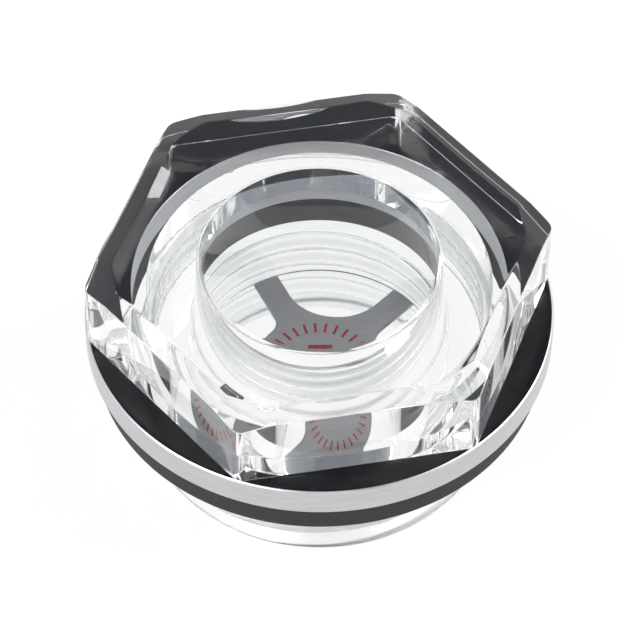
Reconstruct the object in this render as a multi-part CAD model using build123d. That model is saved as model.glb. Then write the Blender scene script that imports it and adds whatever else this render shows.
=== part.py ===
"""Screw-in oil level sight glass with a hexagon head, a flat gasket and a contrast screen.

The clear plug is one moulding: a hexagon head whose top is the window, a round flange that presses the gasket
against the tank wall, and a hollow shank with a G 3/4 thread. Oil fills the hollow from behind and is seen through
the window against the grey cross of the contrast screen.

Millimetres. The plug's axis is Z and +Z points out of the tank. The origin is the centre of the shank's end face, on
which the part stands when it isn't fitted. Two corners of the hexagon lie on the X axis.
"""

from build123d import *
from math import radians, sin, tan
import os

# Hexagon head
across_flats = 30.0
hex_corner_radius = 0.9
head_height = 6.4
head_chamfer_angle = 24.0
head_chamfer_start = 0.05  # how far the chamfer's inner circle lies outside the flats

# Flange
flange_diameter = 34.5
flange_thickness = 2.3
flange_edge_radius = 0.25  # of the upper edge; the lower one is the mould's parting edge

# Shank: a collar that centres the gasket, a relief, and a G 3/4 thread modelled at its crest diameter
shank_length = 10.0  # from the flange's underside to the end face
collar_diameter = 26.9
collar_height = 1.6
relief_diameter = 25.0
thread_diameter = 26.44
thread_start = 0.3  # how far the thread begins below the gasket
shank_chamfer = 0.4

# Hollow behind the window
window_thickness = 1.6
bore_diameter = 17.9  # at the window; the core's draft opens it towards the tank
bore_draft = 1.6
bore_corner_radius = 0.3

# Pocket in the shank's end that takes the contrast screen
pocket_diameter = 19.2
pocket_depth = 4.65

# Flat gasket round the shank
gasket_width = 2.75  # from its bore to its rim
gasket_thickness = 2.6
gasket_clearance = 0.4  # radial, to the collar

# Contrast screen: a stamped cross with a round hub and four arms
screen_thickness = 0.4
screen_clearance = 0.05  # radial, between the arms' ends and the pocket's wall
screen_turn = -19.0  # of the screen's upright axis from +Y, as it was pressed in
hub_diameter = 9.8
arm_width = 1.95
arm_half_angle = 34.3  # of each arm from the upright axis
upright_window_radius = 3.9  # rounding between the arms above and below the hub
side_window_radius = 1.3  # rounding where an arm meets the hub at its sides

# Heights above the shank's end face that follow from these
flange_bottom = shank_length
flange_top = flange_bottom + flange_thickness
head_top = flange_top + head_height
window_back = head_top - window_thickness
gasket_bottom = flange_bottom - gasket_thickness
thread_top = gasket_bottom - thread_start
collar_bottom = flange_bottom - collar_height
pocket_floor = pocket_depth


def head():
    """Hexagonal prism with rounded corners, its top corners turned off by a flat cone."""
    outline = RegularPolygon(across_flats / 2, 6, major_radius=False, rotation=0)
    outline = fillet(outline.vertices(), hex_corner_radius)
    prism = Pos(0, 0, flange_top) * extrude(outline, head_height)
    crown = across_flats / 2 + head_chamfer_start
    beyond = across_flats
    drop = (beyond - crown) * tan(radians(head_chamfer_angle))
    profile = Polyline(
        (0, 0),
        (beyond, 0),
        (beyond, head_top - drop),
        (crown, head_top),
        (0, head_top),
        close=True,
    )
    return prism & revolve(Plane.XZ * make_face(profile), Axis.Z)


def flange():
    """Round disc under the head, with its upper rim edge slightly rounded."""
    disc = Cylinder(flange_diameter / 2, flange_thickness)
    disc = fillet(disc.edges().group_by(Axis.Z)[-1], flange_edge_radius)
    return Pos(0, 0, flange_bottom + flange_thickness / 2) * disc


def shank():
    """Turned profile of the stem: end chamfer, thread crest, relief and gasket collar."""
    crest = thread_diameter / 2
    profile = Polyline(
        (0, 0),
        (crest - shank_chamfer, 0),
        (crest, shank_chamfer),
        (crest, thread_top),
        (relief_diameter / 2, thread_top),
        (relief_diameter / 2, collar_bottom),
        (collar_diameter / 2, collar_bottom),
        (collar_diameter / 2, flange_bottom),
        (0, flange_bottom),
        close=True,
    )
    return revolve(Plane.XZ * make_face(profile), Axis.Z)


def hollow():
    """What the core pin leaves: a drafted bore up to the window and the screen's pocket at the shank's end."""
    top_radius = bore_diameter / 2
    seat_radius = top_radius + (window_back - pocket_floor) * tan(radians(bore_draft))
    profile = Polyline(
        (0, pocket_floor),
        (seat_radius, pocket_floor),
        (top_radius, window_back),
        (0, window_back),
        close=True,
    )
    section = make_face(profile)
    window_corner = section.vertices().group_by(Axis.Y)[-1].sort_by(Axis.X)[-1]
    section = fillet(window_corner, bore_corner_radius)
    bore = revolve(Plane.XZ * section, Axis.Z)
    pocket = Pos(0, 0, pocket_depth / 2) * Cylinder(pocket_diameter / 2, pocket_depth)
    return bore + pocket


def sight_body():
    """The whole clear moulding."""
    return head() + flange() + shank() - hollow()


def sealing_ring():
    """Flat die-cut rubber gasket between the flange and the tank wall."""
    inner = collar_diameter / 2 + gasket_clearance
    outline = Circle(inner + gasket_width) - Circle(inner)
    return Pos(0, 0, gasket_bottom) * extrude(outline, gasket_thickness)


def screen_window(half_angle, radius):
    """Gap between two arms, centred on +Y, as an outline whose inner corners are rounded."""
    reach = pocket_diameter
    side = arm_width / 2
    apex = side / sin(radians(half_angle))
    spread = reach * tan(radians(half_angle))
    wedge = make_face(Polyline((0, apex), (spread, apex + reach), (-spread, apex + reach), close=True))
    gap = wedge - Circle(hub_diameter / 2)
    inner = gap.vertices().group_by(Axis.Y)[0]
    return fillet(inner, radius)


def contrast_screen():
    """Stamped cross whose arms' ends sit on the pocket's floor."""
    outline = Circle(pocket_diameter / 2 - screen_clearance)
    upright = screen_window(arm_half_angle, upright_window_radius)
    beside = screen_window(90 - arm_half_angle, side_window_radius)
    for turn in (0, 180):
        outline -= Rot(0, 0, turn) * upright
        outline -= Rot(0, 0, turn + 90) * beside
    plate = extrude(outline, screen_thickness)
    return Pos(0, 0, pocket_floor - screen_thickness) * Rot(0, 0, screen_turn) * plate


nodes = {
    "sight_body": sight_body(),
    "sealing_ring": sealing_ring(),
    "contrast_screen": contrast_screen(),
}

os.makedirs("parts", exist_ok=True)
for name, solid in nodes.items():
    export_step(solid, f"parts/{name}.step")
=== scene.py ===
from math import asin, atan2, cos, hypot, pi, radians, sin, sqrt, tan

import bmesh
import bpy
from bpy.props import FloatProperty, FloatVectorProperty, PointerProperty
from mathutils import Matrix, Vector


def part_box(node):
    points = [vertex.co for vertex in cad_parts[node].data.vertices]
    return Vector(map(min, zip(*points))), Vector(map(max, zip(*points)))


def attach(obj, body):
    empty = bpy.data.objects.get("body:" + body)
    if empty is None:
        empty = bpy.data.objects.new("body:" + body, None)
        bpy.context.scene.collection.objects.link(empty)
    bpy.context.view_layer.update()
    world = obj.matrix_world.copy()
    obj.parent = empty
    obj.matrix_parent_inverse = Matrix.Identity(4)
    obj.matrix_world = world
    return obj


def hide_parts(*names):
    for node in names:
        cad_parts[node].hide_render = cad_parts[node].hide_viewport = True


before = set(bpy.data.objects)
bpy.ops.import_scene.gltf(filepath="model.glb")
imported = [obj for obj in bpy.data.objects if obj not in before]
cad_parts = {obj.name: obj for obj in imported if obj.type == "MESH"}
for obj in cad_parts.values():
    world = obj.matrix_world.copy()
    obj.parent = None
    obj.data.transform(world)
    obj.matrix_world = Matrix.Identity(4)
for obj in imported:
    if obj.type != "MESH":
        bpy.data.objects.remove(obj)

bl_info = {
    "name": "Oil sight glass",
    "version": (1, 0, 0),
    "blender": (4, 5, 0),
    "location": "View3D > Sidebar > Sight glass",
    "description": "Builds a clear screw-in oil level sight glass with its ring, gasket and contrast screen",
    "category": "Object",
}

MM = 0.001
WELD = 0.0005 * MM  # vertices nearer than this are one
SHARP = radians(32.0)  # edges that turn more than this stay sharp
CREST_SHARP = radians(70.0)  # the same on the plug, whose thread crests turn more than SHARP from ring to ring
HOLD = 0.4  # length of the short edges beside a rounding, as a share of its radius
ROUNDING_STEPS = 4
PLUG_STEPS = 720
RING_STEPS = 360
THREAD_RINGS = 55
HALF_SIDE = pi / 6  # half of the angle that one side of the hexagon takes up
FLANK = radians(27.5)  # of a Whitworth thread, from the plane across its axis
WHITWORTH_ROUNDING = 0.137329  # of crests and roots, as a share of the pitch
POLISHED, SATIN = 0, 1  # material places on the plug
EDGES, FACES = 0, 1  # material places on the ring
LEVEL = 0.9  # the ring's faces are lacquered where the upright part of their normal is more than this
TIP_STEPS, GAP_STEPS, HUB_STEPS = 6, 24, 16
TICKS = 30
# The plain printed bar above the middle of the hub
BAR_PLACE = (0.383 * MM, 1.617 * MM)
BAR_SIZE = (1.84 * MM, 0.73 * MM)
BAR_TURN = radians(-10.56)
POLYAMIDE_IOR, RUBBER_IOR = 1.5, 1.52
NOISE_RANGE = (0.3, 0.7)  # between which nearly all of a noise texture's values lie
# Patterns of the finishes: how large their blobs are, the strength and height of their relief, and the two ends of
# their roughness and of their shades, which are shares of the tint
WAVES = {"size": 5.0 * MM, "detail": 0.0, "relief": (1.0, 0.002 * MM)}
GRIT = {"size": 0.09 * MM, "relief": (1.0, 0.006 * MM)}
GRIT_PATCHES = {"size": 0.4 * MM, "roughness": (0.3, 0.5)}
TURNED_LINES = {"size": 0.12 * MM, "relief": (0.5, 0.002 * MM), "roughness": (0.34, 0.44), "shades": (0.9, 1.06)}
ORANGE_PEEL = {"size": 0.5 * MM, "relief": (0.4, 0.002 * MM), "roughness": (0.18, 0.26), "shades": (0.8, 1.2)}
CALENDERED = {"size": 0.12 * MM, "relief": (0.6, 0.006 * MM), "roughness": (0.5, 0.68)}
BLOOM = {"size": 0.9 * MM, "shades": (1.0, 1.8)}
ROLLED_LINES = {"size": 1.2 * MM, "relief": (0.5, 0.003 * MM), "roughness": (0.45, 0.6), "shades": (0.9, 1.1)}
INK_COVER = {"size": 0.25 * MM, "roughness": (0.35, 0.5), "shades": (0.6, 1.25)}
PAPER_TONE = {"size": 40.0 * MM, "shades": (0.985, 1.0)}
TURNED_STRETCH = (0.05, 0.05, 1.0)  # draws the blobs out into lines round the ring
ROLLED_STRETCH, ROLLED_TURN = (1.0, 14.0, 1.0), (0.0, 0.0, 0.6)  # the same for lines across the sheet
PAPER_ROUGHNESS = 0.9
FLOOR_SIDE = 4.0
FLOOR_GAP = 0.02 * MM
FLOOR_GLOW = 0.7  # share of the floor that the camera sees as plain white
# Colours of the light tent by the height of the direction, from level at 0 to straight up at 1
TENT = ((0.0, "ffffff"), (0.4, "f2f3f4"), (0.6, "c3c6cb"), (0.76, "7a7e87"), (1.0, "141519"))
# Each lamp's name, place and side in metres, and power in watts
LAMPS = (
    ("left_softbox", (-0.42, -0.22, 0.4), 0.35, 4.2),
    ("right_softbox", (0.45, -0.05, 0.36), 0.35, 3.6),
)
CLEAR_BOUNCES = 24
# The camera's direction from the part, its distance and its lens
ELEVATION, BEARING, ROLL = radians(50.077), radians(-100.56), radians(0.324)
DISTANCE = 298.8 * MM
SENSOR, LENS = 36.0, 228.58
SHIFT = (0.00098, -0.02184)
CLIP = (0.01, 10.0)
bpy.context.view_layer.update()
BODY_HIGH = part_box("sight_body")[1]
GASKET_LOW, GASKET_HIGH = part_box("sealing_ring")
SCREEN_LOW, SCREEN_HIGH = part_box("contrast_screen")


def linear(code):
    """An sRGB colour written as six hex digits, as linear red, green and blue."""
    parts = [int(code[i : i + 2], 16) / 255 for i in (0, 2, 4)]
    return [p / 12.92 if p <= 0.04045 else ((p + 0.055) / 1.055) ** 2.4 for p in parts]


def length(name, default, description):
    """A size in metres."""
    return FloatProperty(name=name, description=description, default=default, min=0.0, unit="LENGTH", precision=5)


def turn(name, default, description):
    """An angle, given in degrees."""
    return FloatProperty(name=name, description=description, default=radians(default), subtype="ANGLE")


def colour(name, code, description):
    """A colour, given as six sRGB hex digits."""
    return FloatVectorProperty(
        name=name, description=description, default=linear(code), subtype="COLOR", size=3, min=0.0, max=1.0
    )


class SightGlassSizes(bpy.types.PropertyGroup):
    """Sizes of the plug, the ring, the gasket and the contrast screen."""

    across_flats: length("Across flats", 30.0 * MM, "Spanner size of the hexagon")
    corner_radius: length("Corner radius", 0.9 * MM, "Rounding of the hexagon's upright edges")
    chamfer_angle: turn("Chamfer angle", 24.0, "Slope of the cone that turns off the head's corners")
    chamfer_start: length("Chamfer start", 0.05 * MM, "How far the cone begins outside the flats")
    edge_width: length("Edge width", 1.35 * MM, "Width of the bevel along the middle of a flat")
    edge_slope: turn("Edge slope", 21.0, "Slope of that bevel, where the cone doesn't cut deeper")
    crown_rounding: length("Crown rounding", 0.5 * MM, "Rounding between the window's face and the cone")
    brow_rounding: length("Brow rounding", 0.08 * MM, "Rounding between the cone and the flats")
    ring_bore: length("Ring bore", 13.75 * MM, "Inner radius of the ring under the head")
    ring_rounding: length("Ring rounding", 0.25 * MM, "Rounding of the ring's upper outer edge")
    ring_gap: length("Ring gap", 0.03 * MM, "Air between the ring and the head above it")
    small_rounding: length("Small rounding", 0.05 * MM, "Rounding of the moulding's other edges")
    head_bottom: length("Head bottom", 12.3 * MM, "Height of the head's underside above the shank's end")
    ring_bottom: length("Ring bottom", 10.0 * MM, "Height of the ring's lower face above the shank's end")
    neck_radius: length("Neck radius", 12.6 * MM, "Radius of the plain neck between head and thread")
    thread_radius: length("Thread radius", 13.22 * MM, "Radius over the thread's crests")
    thread_top: length("Thread top", 7.1 * MM, "Height at which the thread begins under the gasket")
    thread_pitch: length("Thread pitch", 1.814 * MM, "Distance from turn to turn")
    thread_depth: length("Thread depth", 1.162 * MM, "Depth of the thread from crest to root")
    end_chamfer: length("End chamfer", 0.4 * MM, "Chamfer at the shank's end")
    bore_radius: length("Bore radius", 8.95 * MM, "Radius of the hollow at the window")
    seat_radius: length("Seat radius", 9.298 * MM, "Radius of the hollow at the screen, opened by the mould's draft")
    window_rounding: length("Window rounding", 0.3 * MM, "Rounding between the hollow's wall and the window")
    window_back: length("Window back", 17.1 * MM, "Height of the window's inner face")
    pocket_radius: length("Pocket radius", 9.6 * MM, "Radius of the pocket that takes the screen")
    pocket_floor: length("Pocket floor", 4.65 * MM, "Height of the shoulder on which the screen sits")
    gasket_bore: length("Gasket bore", 13.85 * MM, "Inner radius of the gasket")
    gasket_gap: length("Gasket gap", 0.05 * MM, "Air between gasket and ring before the plug is tightened")
    screen_clearance: length("Screen clearance", 0.05 * MM, "Between the arms' ends and the pocket's wall")
    screen_gap: length("Screen gap", 0.02 * MM, "Air between the screen and its shoulder")
    hub_radius: length("Hub radius", 4.9 * MM, "Radius of the screen's round middle")
    arm_width: length("Arm width", 1.95 * MM, "Width of each arm")
    arm_angle: turn("Arm angle", 34.3, "Angle of each arm from the upright axis")
    upright_rounding: length("Upright rounding", 3.9 * MM, "Rounding of the gaps above and below the hub")
    side_rounding: length("Side rounding", 1.3 * MM, "Rounding where an arm meets the hub at its sides")
    tick_ring: length("Tick ring", 3.7 * MM, "Radius of the ring of printed ticks")
    tick_length: length("Tick length", 0.9 * MM, "Length of a printed tick")
    tick_width: length("Tick width", 0.2 * MM, "Width of a printed tick")
    ink_thickness: length("Ink thickness", 0.015 * MM, "Thickness of the print")
    screen_turn: turn("Screen turn", -19.0, "Direction of the screen's upright axis, from +Y")


class SightGlassColours(bpy.types.PropertyGroup):
    """Colours of the finishes."""

    plastic: colour("Clear plastic", "fdfefe", "Tint of the clear moulding")
    bare_metal: colour("Bare metal", "c9cacc", "Bare aluminium of the ring's edges")
    lacquer: colour("Lacquer", "08080b", "Black of the ring's faces")
    rubber: colour("Rubber", "0d0c0a", "Black of the gasket")
    sheet: colour("Screen", "9b9b9d", "Grey of the contrast screen")
    ink: colour("Print", "a3201c", "Red of the marks on the screen")
    floor: colour("Floor", "f7f7f7", "Paper on which the part stands")


def add_node(tree, kind, settings=None, **inputs):
    """Adds a node, sets its properties, and fills or links its inputs. A socket is given by its name with _ for a
    space, or by _ and its index, as on a Mix node, whose colour sockets are 6 and 7 and whose colour output is 2."""
    node = tree.nodes.new(kind)
    for key, value in (settings or {}).items():
        setattr(node, key, value)
    for key, value in inputs.items():
        socket = node.inputs[int(key[1:]) if key[1:].isdigit() else key.replace("_", " ")]
        if isinstance(value, bpy.types.NodeSocket):
            tree.links.new(value, socket)
        else:
            socket.default_value = value
    return node


def rounded(corners):
    """Section points with the corners rounded. A corner is (radius, height, rounding); short edges beside each
    rounding keep the faces next to it flat."""
    points = []
    for index, (radius, height, rounding) in enumerate(corners):
        here = Vector((radius, height))
        if not rounding:
            points.append(here)
            continue
        before = (here - Vector(corners[index - 1][:2])).normalized()
        after = (Vector(corners[index + 1][:2]) - here).normalized()
        half = before.angle(after) / 2
        reach = rounding * tan(half)
        centre = here + (after - before).normalized() * rounding / cos(half)
        spoke = here - before * reach - centre
        side = 1 if before.x * after.y > before.y * after.x else -1
        points.append(here - before * (reach + rounding * HOLD))
        for step in range(ROUNDING_STEPS + 1):
            points.append(centre + Matrix.Rotation(side * 2 * half * step / ROUNDING_STEPS, 2) @ spoke)
        points.append(here + after * (reach + rounding * HOLD))
    return points


def turned(section_at, steps, closed=False):
    """Spins the section at angle 0 a full turn about Z, then gives every ring its own radius and height at each
    angle, as section_at says."""
    bm = bmesh.new()
    ring = bm.verts.layers.int.new("ring")
    points = [bm.verts.new((p.x, 0.0, p.y)) for p in section_at(0.0)]
    for index, point in enumerate(points):
        point[ring] = index
    pairs = list(zip(points, points[1:])) + ([(points[-1], points[0])] if closed else [])
    edges = [bm.edges.new(pair) for pair in pairs]
    bmesh.ops.spin(
        bm, geom=points + edges, cent=(0, 0, 0), axis=(0, 0, 1), angle=2 * pi, steps=steps, use_merge=True
    )
    sections = [section_at(2 * pi * step / steps) for step in range(steps)]
    for vertex in bm.verts:
        step = round(atan2(vertex.co.y, vertex.co.x) * steps / (2 * pi)) % steps
        place = sections[step][vertex[ring]]
        angle = 2 * pi * step / steps
        vertex.co = (place.x * cos(angle), place.x * sin(angle), place.y)
    return bm


def make_piece(name, bm, materials, node=None, sharp=SHARP):
    """Closes the mesh, turns its faces outwards, and puts it on the part, in place of a CAD node if one is named."""
    bmesh.ops.remove_doubles(bm, verts=bm.verts, dist=WELD)
    bmesh.ops.recalc_face_normals(bm, faces=bm.faces)
    mesh = bpy.data.meshes.new(name)
    bm.to_mesh(mesh)
    bm.free()
    for material in materials:
        mesh.materials.append(material)
    mesh.shade_smooth()
    mesh.set_sharp_from_angle(angle=sharp)
    piece = bpy.data.objects.new(name, mesh)
    bpy.context.scene.collection.objects.link(piece)
    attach(piece, "root")
    if node:
        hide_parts(node)
    return piece


def hexagon_radius(sizes, angle):
    """Distance of the head's outline from the axis; two corners lie on X."""
    flat, rounding = sizes.across_flats / 2, sizes.corner_radius
    off_corner = abs((angle + HALF_SIDE) % (2 * HALF_SIDE) - HALF_SIDE)
    centre = (flat - rounding) / cos(HALF_SIDE)
    if off_corner < atan2(rounding * sin(HALF_SIDE), centre + rounding * cos(HALF_SIDE)):
        return centre * cos(off_corner) + sqrt(rounding**2 - (centre * sin(off_corner)) ** 2)
    return flat / cos(HALF_SIDE - off_corner)


def thread_radius(sizes, height, angle):
    """Right-hand Whitworth pipe thread: 55 degree flanks, crests and roots rounded alike."""
    pitch, crest = sizes.thread_pitch, sizes.thread_radius
    root = crest - sizes.thread_depth
    off_crest = abs((height / pitch - angle / (2 * pi)) % 1.0 - 0.5) * pitch
    off_root = pitch / 2 - off_crest
    rounding = pitch * WHITWORTH_ROUNDING
    tangent = rounding * cos(FLANK)
    if off_crest < tangent:
        radius = crest - rounding + sqrt(rounding**2 - off_crest**2)
    elif off_root < tangent:
        radius = root + rounding - sqrt(rounding**2 - off_root**2)
    else:
        radius = (crest + root) / 2 + (pitch / 4 - off_crest) / tan(FLANK)
    return min(radius, crest - sizes.end_chamfer + height)


def plug_section(sizes, angle):
    """Half section of the plug, from the middle of the window's outer face round to the middle of its inner one.
    The head's edge is a bevel of one width along the flats; at the corners the cone takes over where it cuts deeper."""
    top = BODY_HIGH.z
    outline = hexagon_radius(sizes, angle)
    cone = sizes.across_flats / 2 + sizes.chamfer_start
    crown = min(cone, outline - sizes.edge_width)
    cone_drop = (outline - cone) * tan(sizes.chamfer_angle)
    brow = top - max(cone_drop, sizes.edge_width * tan(sizes.edge_slope))
    head = rounded(
        [
            (0.0, top, 0.0),
            (crown, top, sizes.crown_rounding),
            (outline, brow, sizes.brow_rounding),
            (outline, sizes.head_bottom, sizes.small_rounding),
            (sizes.neck_radius, sizes.head_bottom, sizes.small_rounding),
            (sizes.neck_radius, sizes.thread_top, 0.0),
        ]
    )
    turns = []
    for index in range(THREAD_RINGS + 1):
        height = sizes.thread_top * (1 - index / THREAD_RINGS)
        turns.append(Vector((thread_radius(sizes, height, angle), height)))
    mouth = turns.pop()
    hollow = rounded(
        [
            (mouth.x, 0.0, 0.0),
            (mouth.x - sizes.small_rounding, 0.0, 0.0),
            (sizes.pocket_radius, 0.0, sizes.small_rounding),
            (sizes.pocket_radius, sizes.pocket_floor, 0.0),
            (sizes.seat_radius, sizes.pocket_floor, sizes.small_rounding),
            (sizes.bore_radius, sizes.window_back, sizes.window_rounding),
            (0.0, sizes.window_back, 0.0),
        ]
    )
    return head + turns + hollow


def flat_ring_section(inner, outer, low, high, edge, upper_edge):
    """Closed section of a flat ring, starting in the middle of its lower face."""
    middle = (inner + outer) / 2
    return rounded(
        [
            (middle, low, 0.0),
            (outer, low, edge),
            (outer, high, upper_edge),
            (middle, high, 0.0),
            (inner, high, edge),
            (inner, low, edge),
            (middle, low, 0.0),
        ]
    )[:-1]


def draw_line(bm, end, point):
    """A straight edge from the last vertex of an outline to a point."""
    made = bmesh.ops.extrude_vert_indiv(bm, verts=[end])["verts"][0]
    made.co = point
    return made


def draw_arc(bm, end, centre, angle, steps):
    """An arc from the last vertex of an outline, turned about a centre."""
    made = bmesh.ops.spin(bm, geom=[end], cent=centre, axis=(0, 0, 1), angle=angle, steps=steps)
    return next(item for item in made["geom_last"] if isinstance(item, bmesh.types.BMVert))


def polar(radius, angle, height):
    """A point at a distance from the axis in a direction."""
    return Vector((radius * cos(angle), radius * sin(angle), height))


def screen_outline(bm, sizes, height):
    """Draws the cross: for each arm its end, then down its side into the rounded gap before the next arm."""
    reach = sizes.pocket_radius - sizes.screen_clearance
    half = sizes.arm_width / 2
    tip = asin(half / reach)
    upright, beside = 2 * sizes.arm_angle, pi - 2 * sizes.arm_angle
    arm = pi / 2 - sizes.arm_angle + sizes.screen_turn
    start = end = bm.verts.new(polar(reach, arm - tip, height))
    for gap, rounding in ((upright, sizes.upright_rounding), (beside, sizes.side_rounding)) * 2:
        end = draw_arc(bm, end, (0, 0, height), 2 * tip, TIP_STEPS)
        out = sizes.hub_radius + rounding
        lean = asin((half + rounding) / out)
        along = out * cos(lean)
        end = draw_line(bm, end, polar(hypot(along, half), arm + atan2(half, along), height))
        end = draw_arc(bm, end, polar(out, arm + lean, height), lean - pi / 2, GAP_STEPS)
        end = draw_arc(bm, end, (0, 0, height), gap - 2 * lean, HUB_STEPS)
        end = draw_arc(bm, end, polar(out, arm + gap - lean, height), lean - pi / 2, GAP_STEPS)
        arm += gap
        end = draw_line(bm, end, polar(reach, arm - tip, height))
    bmesh.ops.weld_verts(bm, targetmap={end: start})


def flat_face(bm):
    """Fills the outline drawn so far."""
    return bmesh.ops.contextual_create(bm, geom=bm.edges[:])["faces"][0]


def unit_square(bm, matrix):
    """A flat square with sides of 1, placed and stretched by the matrix."""
    bmesh.ops.create_grid(bm, x_segments=1, y_segments=1, size=0.5, matrix=matrix)


def thicken(bm, face, height):
    """Pulls a filled outline up into a plate."""
    pulled = bmesh.ops.extrude_face_region(bm, geom=[face], use_keep_orig=True)["geom"]
    bmesh.ops.translate(bm, verts=[v for v in pulled if isinstance(v, bmesh.types.BMVert)], vec=(0, 0, height))


def start_material(name):
    """A new material with an empty node tree, and its Object coordinates."""
    material = bpy.data.materials.new(name)
    material.use_nodes = True
    material.node_tree.nodes.clear()
    place = add_node(material.node_tree, "ShaderNodeTexCoord").outputs["Object"]
    return material, material.node_tree, place


def unevenness(tree, place, tint=None, *, size, detail=2.0, relief=None, roughness=None, shades=None):
    """What one noise pattern gives a shader: a relief, a varying roughness and a varying shade of the tint, each of
    them where the pattern has it."""
    noise = add_node(tree, "ShaderNodeTexNoise", Vector=place, Scale=1 / size, Detail=detail).outputs["Fac"]
    spread = {"Value": noise, "From_Min": NOISE_RANGE[0], "From_Max": NOISE_RANGE[1]}
    inputs = {}
    if relief:
        strength, height = relief
        bump = add_node(tree, "ShaderNodeBump", Height=noise, Strength=strength, Distance=height)
        inputs["Normal"] = bump.outputs["Normal"]
    if roughness:
        low, high = roughness
        rough = add_node(tree, "ShaderNodeMapRange", To_Min=low, To_Max=high, **spread)
        inputs["Roughness"] = rough.outputs["Result"]
    if shades:
        low, high = shades
        share = add_node(tree, "ShaderNodeMapRange", To_Min=0.0, To_Max=1.0, **spread)
        inputs["Base_Color"] = add_node(
            tree,
            "ShaderNodeMix",
            {"data_type": "RGBA"},
            _0=share.outputs["Result"],
            _6=(*(low * part for part in tint), 1.0),
            _7=(*(high * part for part in tint), 1.0),
        ).outputs[2]
    return inputs


def close_material(material, shader):
    """Links the shader to the surface."""
    add_node(material.node_tree, "ShaderNodeOutputMaterial", Surface=shader.outputs[0])
    return material


def polished_polyamide(colours):
    """Clear polyamide moulded in a polished tool: glass-clear, with the slight waviness of a moulding that makes
    edges seen through it swim a little."""
    material, tree, place = start_material("polished_clear_polyamide")
    shader = add_node(
        tree,
        "ShaderNodeBsdfPrincipled",
        Base_Color=(*colours.plastic, 1.0),
        Roughness=0.0,
        IOR=POLYAMIDE_IOR,
        Transmission_Weight=1.0,
        **unevenness(tree, place, **WAVES),
    )
    return close_material(material, shader)


def satin_polyamide(colours):
    """The same polyamide from the spark-eroded thread inserts of the tool: it scatters what is seen through it, and
    its fine grit glitters."""
    material, tree, place = start_material("satin_clear_polyamide")
    shader = add_node(
        tree,
        "ShaderNodeBsdfPrincipled",
        Base_Color=(*colours.plastic, 1.0),
        IOR=POLYAMIDE_IOR,
        Transmission_Weight=1.0,
        **unevenness(tree, place, **GRIT),
        **unevenness(tree, place, **GRIT_PATCHES),
    )
    return close_material(material, shader)


def turned_edge(colours):
    """Aluminium turned to size after lacquering: the bare edge is a bright satin grey with fine lines round it."""
    material, tree, place = start_material("turned_aluminium_edge")
    place = add_node(tree, "ShaderNodeMapping", Vector=place, Scale=TURNED_STRETCH).outputs["Vector"]
    lines = unevenness(tree, place, colours.bare_metal, **TURNED_LINES)
    return close_material(material, add_node(tree, "ShaderNodeBsdfPrincipled", Metallic=1.0, **lines))


def black_lacquer(colours):
    """Black stove lacquer, sprayed: deep black and smooth, with a hardly visible orange peel in its reflections."""
    material, tree, place = start_material("black_stove_lacquer")
    peel = unevenness(tree, place, colours.lacquer, **ORANGE_PEEL)
    return close_material(material, add_node(tree, "ShaderNodeBsdfPrincipled", **peel))


def gasket_rubber(colours):
    """Black nitrile rubber, cut from calendered sheet: deep black, with a dull grey bloom in patches all over it."""
    material, tree, place = start_material("calendered_nitrile_rubber")
    shader = add_node(
        tree,
        "ShaderNodeBsdfPrincipled",
        IOR=RUBBER_IOR,
        **unevenness(tree, place, **CALENDERED),
        **unevenness(tree, place, colours.rubber, **BLOOM),
    )
    return close_material(material, shader)


def screen_sheet(colours):
    """Stamped aluminium sheet with a matt grey anodised face, whose pigment hides the metal: an even grey with faint
    rolling lines."""
    material, tree, place = start_material("anodised_aluminium_sheet")
    place = add_node(
        tree, "ShaderNodeMapping", Vector=place, Scale=ROLLED_STRETCH, Rotation=ROLLED_TURN
    ).outputs["Vector"]
    lines = unevenness(tree, place, colours.sheet, **ROLLED_LINES)
    return close_material(material, add_node(tree, "ShaderNodeBsdfPrincipled", Metallic=0.0, **lines))


def pad_print(colours):
    """Red ink, pad-printed: it lies unevenly, so the marks are deep red in places and thin in others."""
    material, tree, place = start_material("pad_printed_red_ink")
    cover = unevenness(tree, place, colours.ink, **INK_COVER)
    return close_material(material, add_node(tree, "ShaderNodeBsdfPrincipled", **cover))


def paper_floor(colours):
    """White seamless paper: its grain is too fine to show, so its tone only varies a little; clear and shiny
    surfaces see it plain white."""
    material, tree, place = start_material("seamless_paper")
    tone = unevenness(tree, place, colours.floor, **PAPER_TONE)
    paper = add_node(tree, "ShaderNodeBsdfPrincipled", Roughness=PAPER_ROUGHNESS, **tone)
    glow = add_node(tree, "ShaderNodeEmission", Strength=1.0)
    path = add_node(tree, "ShaderNodeLightPath").outputs
    seen = add_node(tree, "ShaderNodeMath", {"operation": "MULTIPLY"}, _0=path["Is Camera Ray"], _1=FLOOR_GLOW)
    for name in ("Is Glossy Ray", "Is Transmission Ray"):
        seen = add_node(tree, "ShaderNodeMath", {"operation": "MAXIMUM"}, _0=seen.outputs[0], _1=path[name])
    shader = add_node(
        tree, "ShaderNodeMixShader", _0=seen.outputs[0], _1=paper.outputs[0], _2=glow.outputs[0]
    )
    return close_material(material, shader)


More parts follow.
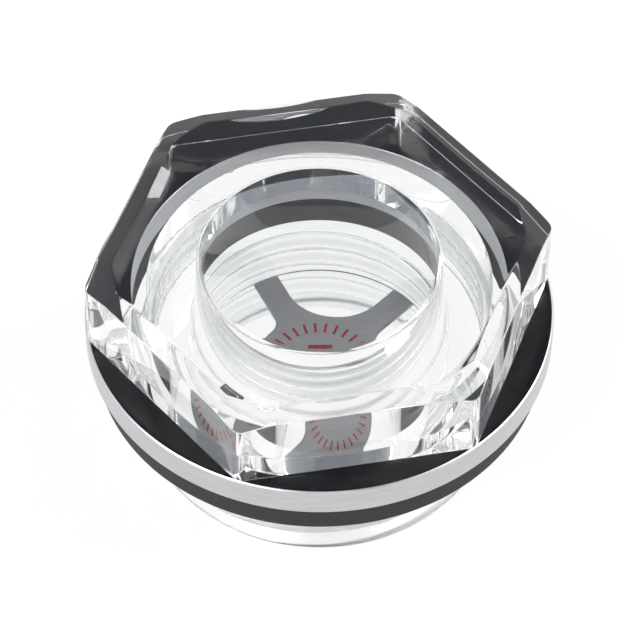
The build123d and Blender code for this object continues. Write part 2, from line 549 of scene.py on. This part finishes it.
def studio_world():
    """A light tent: white walls at the level of the part, a darker ceiling, and white where the camera sees it."""
    world = bpy.data.worlds.new("light_tent")
    bpy.context.scene.world = world
    world.use_nodes = True
    tree = world.node_tree
    tree.nodes.clear()
    height = add_node(
        tree, "ShaderNodeSeparateXYZ", Vector=add_node(tree, "ShaderNodeTexCoord").outputs["Generated"]
    ).outputs["Z"]
    ramp = add_node(tree, "ShaderNodeValToRGB", Fac=height)
    stops = ramp.color_ramp.elements
    for index, (place, code) in enumerate(TENT):
        stop = stops[index] if index < len(stops) else stops.new(place)
        stop.position, stop.color = place, (*linear(code), 1.0)
    white = add_node(
        tree,
        "ShaderNodeMix",
        {"data_type": "RGBA"},
        _0=add_node(tree, "ShaderNodeLightPath").outputs["Is Camera Ray"],
        _6=ramp.outputs["Color"],
        _7=(1.0, 1.0, 1.0, 1.0),
    )
    background = add_node(tree, "ShaderNodeBackground", Color=white.outputs[2], Strength=1.0)
    add_node(tree, "ShaderNodeOutputWorld", Surface=background.outputs[0])


def softbox(name, place, size, power):
    """A square lamp that looks at the part."""
    lamp = bpy.data.lights.new(name, "AREA")
    lamp.size, lamp.energy = size, power
    holder = bpy.data.objects.new(name, lamp)
    holder.location = place
    holder.rotation_euler = (-Vector(place)).to_track_quat("-Z", "Y").to_euler()
    bpy.context.scene.collection.objects.link(holder)


def camera(sizes):
    """Looks down on the window from the front flat, a little to its left."""
    lens = bpy.data.cameras.new("camera")
    lens.sensor_width, lens.lens = SENSOR, LENS
    lens.shift_x, lens.shift_y = SHIFT
    lens.clip_start, lens.clip_end = CLIP
    holder = bpy.data.objects.new("camera", lens)
    bpy.context.scene.collection.objects.link(holder)
    bpy.context.scene.camera = holder
    back = Vector((cos(ELEVATION) * cos(BEARING), cos(ELEVATION) * sin(BEARING), sin(ELEVATION)))
    holder.location = Vector((0.0, 0.0, sizes.head_bottom)) + back * DISTANCE
    holder.rotation_mode = "QUATERNION"
    holder.rotation_quaternion = back.to_track_quat("Z", "Y") @ Matrix.Rotation(ROLL, 3, "Z").to_quaternion()


class SIGHTGLASS_OT_plug(bpy.types.Operator):
    """Models the clear plug with its hexagon head, threaded shank and hollow"""

    bl_idname = "sightglass.plug"
    bl_label = "Clear plug"

    def execute(self, context):
        sizes, colours = context.scene.sight_glass_sizes, context.scene.sight_glass_colours
        bm = turned(lambda angle: plug_section(sizes, angle), PLUG_STEPS)
        inside = sizes.neck_radius - sizes.thread_depth
        for face in bm.faces:
            middle = face.calc_center_median()
            threaded = middle.z < sizes.thread_top and hypot(middle.x, middle.y) > inside
            face.material_index = SATIN if threaded else POLISHED
        materials = [polished_polyamide(colours), satin_polyamide(colours)]
        make_piece("clear_plug", bm, materials, "sight_body", CREST_SHARP)
        return {"FINISHED"}


class SIGHTGLASS_OT_ring(bpy.types.Operator):
    """Models the metal ring between the head and the gasket"""

    bl_idname = "sightglass.ring"
    bl_label = "Pressure ring"

    def execute(self, context):
        sizes, colours = context.scene.sight_glass_sizes, context.scene.sight_glass_colours
        section = flat_ring_section(
            sizes.ring_bore,
            BODY_HIGH.x,
            sizes.ring_bottom,
            sizes.head_bottom - sizes.ring_gap,
            sizes.small_rounding,
            sizes.ring_rounding,
        )
        bm = turned(lambda angle: section, RING_STEPS, closed=True)
        for face in bm.faces:
            face.material_index = FACES if abs(face.normal.z) > LEVEL else EDGES
        make_piece("pressure_ring", bm, [turned_edge(colours), black_lacquer(colours)])
        return {"FINISHED"}


class SIGHTGLASS_OT_gasket(bpy.types.Operator):
    """Models the flat rubber gasket under the ring"""

    bl_idname = "sightglass.gasket"
    bl_label = "Gasket"

    def execute(self, context):
        sizes, colours = context.scene.sight_glass_sizes, context.scene.sight_glass_colours
        section = flat_ring_section(
            sizes.gasket_bore,
            GASKET_HIGH.x,
            GASKET_LOW.z,
            GASKET_HIGH.z - sizes.gasket_gap,
            sizes.small_rounding,
            sizes.small_rounding,
        )
        bm = turned(lambda angle: section, RING_STEPS, closed=True)
        make_piece("flat_gasket", bm, [gasket_rubber(colours)], "sealing_ring")
        return {"FINISHED"}


class SIGHTGLASS_OT_screen(bpy.types.Operator):
    """Models the stamped contrast screen and its printed marks"""

    bl_idname = "sightglass.screen"
    bl_label = "Contrast screen"

    def execute(self, context):
        sizes, colours = context.scene.sight_glass_sizes, context.scene.sight_glass_colours
        face = SCREEN_HIGH.z - sizes.screen_gap
        bm = bmesh.new()
        screen_outline(bm, sizes, SCREEN_LOW.z)
        thicken(bm, flat_face(bm), face - SCREEN_LOW.z)
        rims = [
            edge
            for edge in bm.edges
            if edge.calc_face_angle(0.0) > SHARP and abs(edge.verts[0].co.z - edge.verts[1].co.z) < WELD
        ]
        bmesh.ops.bevel(
            bm, geom=rims, affect="EDGES", offset=sizes.small_rounding, segments=2, profile=0.5, material=-1
        )
        make_piece("cross_screen", bm, [screen_sheet(colours)], "contrast_screen")
        marks = bmesh.new()
        for index in range(TICKS):
            spin = Matrix.Rotation(2 * pi * index / TICKS, 4, "Z")
            spot = spin @ Matrix.Translation((sizes.tick_ring, 0.0, face))
            unit_square(marks, spot @ Matrix.Diagonal((sizes.tick_length, sizes.tick_width, 1.0, 1.0)))
        place = Matrix.Translation((*BAR_PLACE, face)) @ Matrix.Rotation(BAR_TURN, 4, "Z")
        unit_square(marks, place @ Matrix.Diagonal((*BAR_SIZE, 1.0, 1.0)))
        for mark in marks.faces[:]:
            thicken(marks, mark, sizes.ink_thickness)
        make_piece("red_marks", marks, [pad_print(colours)])
        return {"FINISHED"}


class SIGHTGLASS_OT_stage(bpy.types.Operator):
    """Sets the paper floor, the lamps, the light tent and the camera"""

    bl_idname = "sightglass.stage"
    bl_label = "Stage"

    def execute(self, context):
        sizes, colours = context.scene.sight_glass_sizes, context.scene.sight_glass_colours
        bm = bmesh.new()
        spread = Matrix.Diagonal((FLOOR_SIDE, FLOOR_SIDE, 1.0, 1.0))
        unit_square(bm, Matrix.Translation((0, 0, -FLOOR_GAP)) @ spread)
        mesh = bpy.data.meshes.new("paper_floor")
        bm.to_mesh(mesh)
        bm.free()
        mesh.materials.append(paper_floor(colours))
        floor = bpy.data.objects.new("paper_floor", mesh)
        context.scene.collection.objects.link(floor)
        studio_world()
        for lamp in LAMPS:
            softbox(*lamp)
        camera(sizes)
        context.scene.view_settings.view_transform = "Standard"
        cycles = context.scene.cycles
        cycles.max_bounces = cycles.transmission_bounces = CLEAR_BOUNCES
        cycles.glossy_bounces = CLEAR_BOUNCES
        return {"FINISHED"}


OPERATORS = (
    SIGHTGLASS_OT_plug,
    SIGHTGLASS_OT_ring,
    SIGHTGLASS_OT_gasket,
    SIGHTGLASS_OT_screen,
    SIGHTGLASS_OT_stage,
)


class SIGHTGLASS_PT_panel(bpy.types.Panel):
    """Lists the steps and their sizes and colours"""

    bl_label = "Sight glass"
    bl_space_type = "VIEW_3D"
    bl_region_type = "UI"
    bl_category = "Sight glass"

    def draw(self, context):
        for operator in OPERATORS:
            self.layout.operator(operator.bl_idname)
        for settings in (context.scene.sight_glass_sizes, context.scene.sight_glass_colours):
            for name in settings.__annotations__:
                self.layout.prop(settings, name)


CLASSES = (SightGlassSizes, SightGlassColours, *OPERATORS, SIGHTGLASS_PT_panel)


def register():
    """Registers the classes and hangs the settings on the scene."""
    for kind in CLASSES:
        bpy.utils.register_class(kind)
    bpy.types.Scene.sight_glass_sizes = PointerProperty(type=SightGlassSizes)
    bpy.types.Scene.sight_glass_colours = PointerProperty(type=SightGlassColours)


def unregister():
    """Takes the settings and classes away again."""
    del bpy.types.Scene.sight_glass_colours
    del bpy.types.Scene.sight_glass_sizes
    for kind in reversed(CLASSES):
        bpy.utils.unregister_class(kind)


def main():
    """Builds every piece and the stage."""
    register()
    bpy.ops.sightglass.plug()
    bpy.ops.sightglass.ring()
    bpy.ops.sightglass.gasket()
    bpy.ops.sightglass.screen()
    bpy.ops.sightglass.stage()


if __name__ == "__main__":
    main()
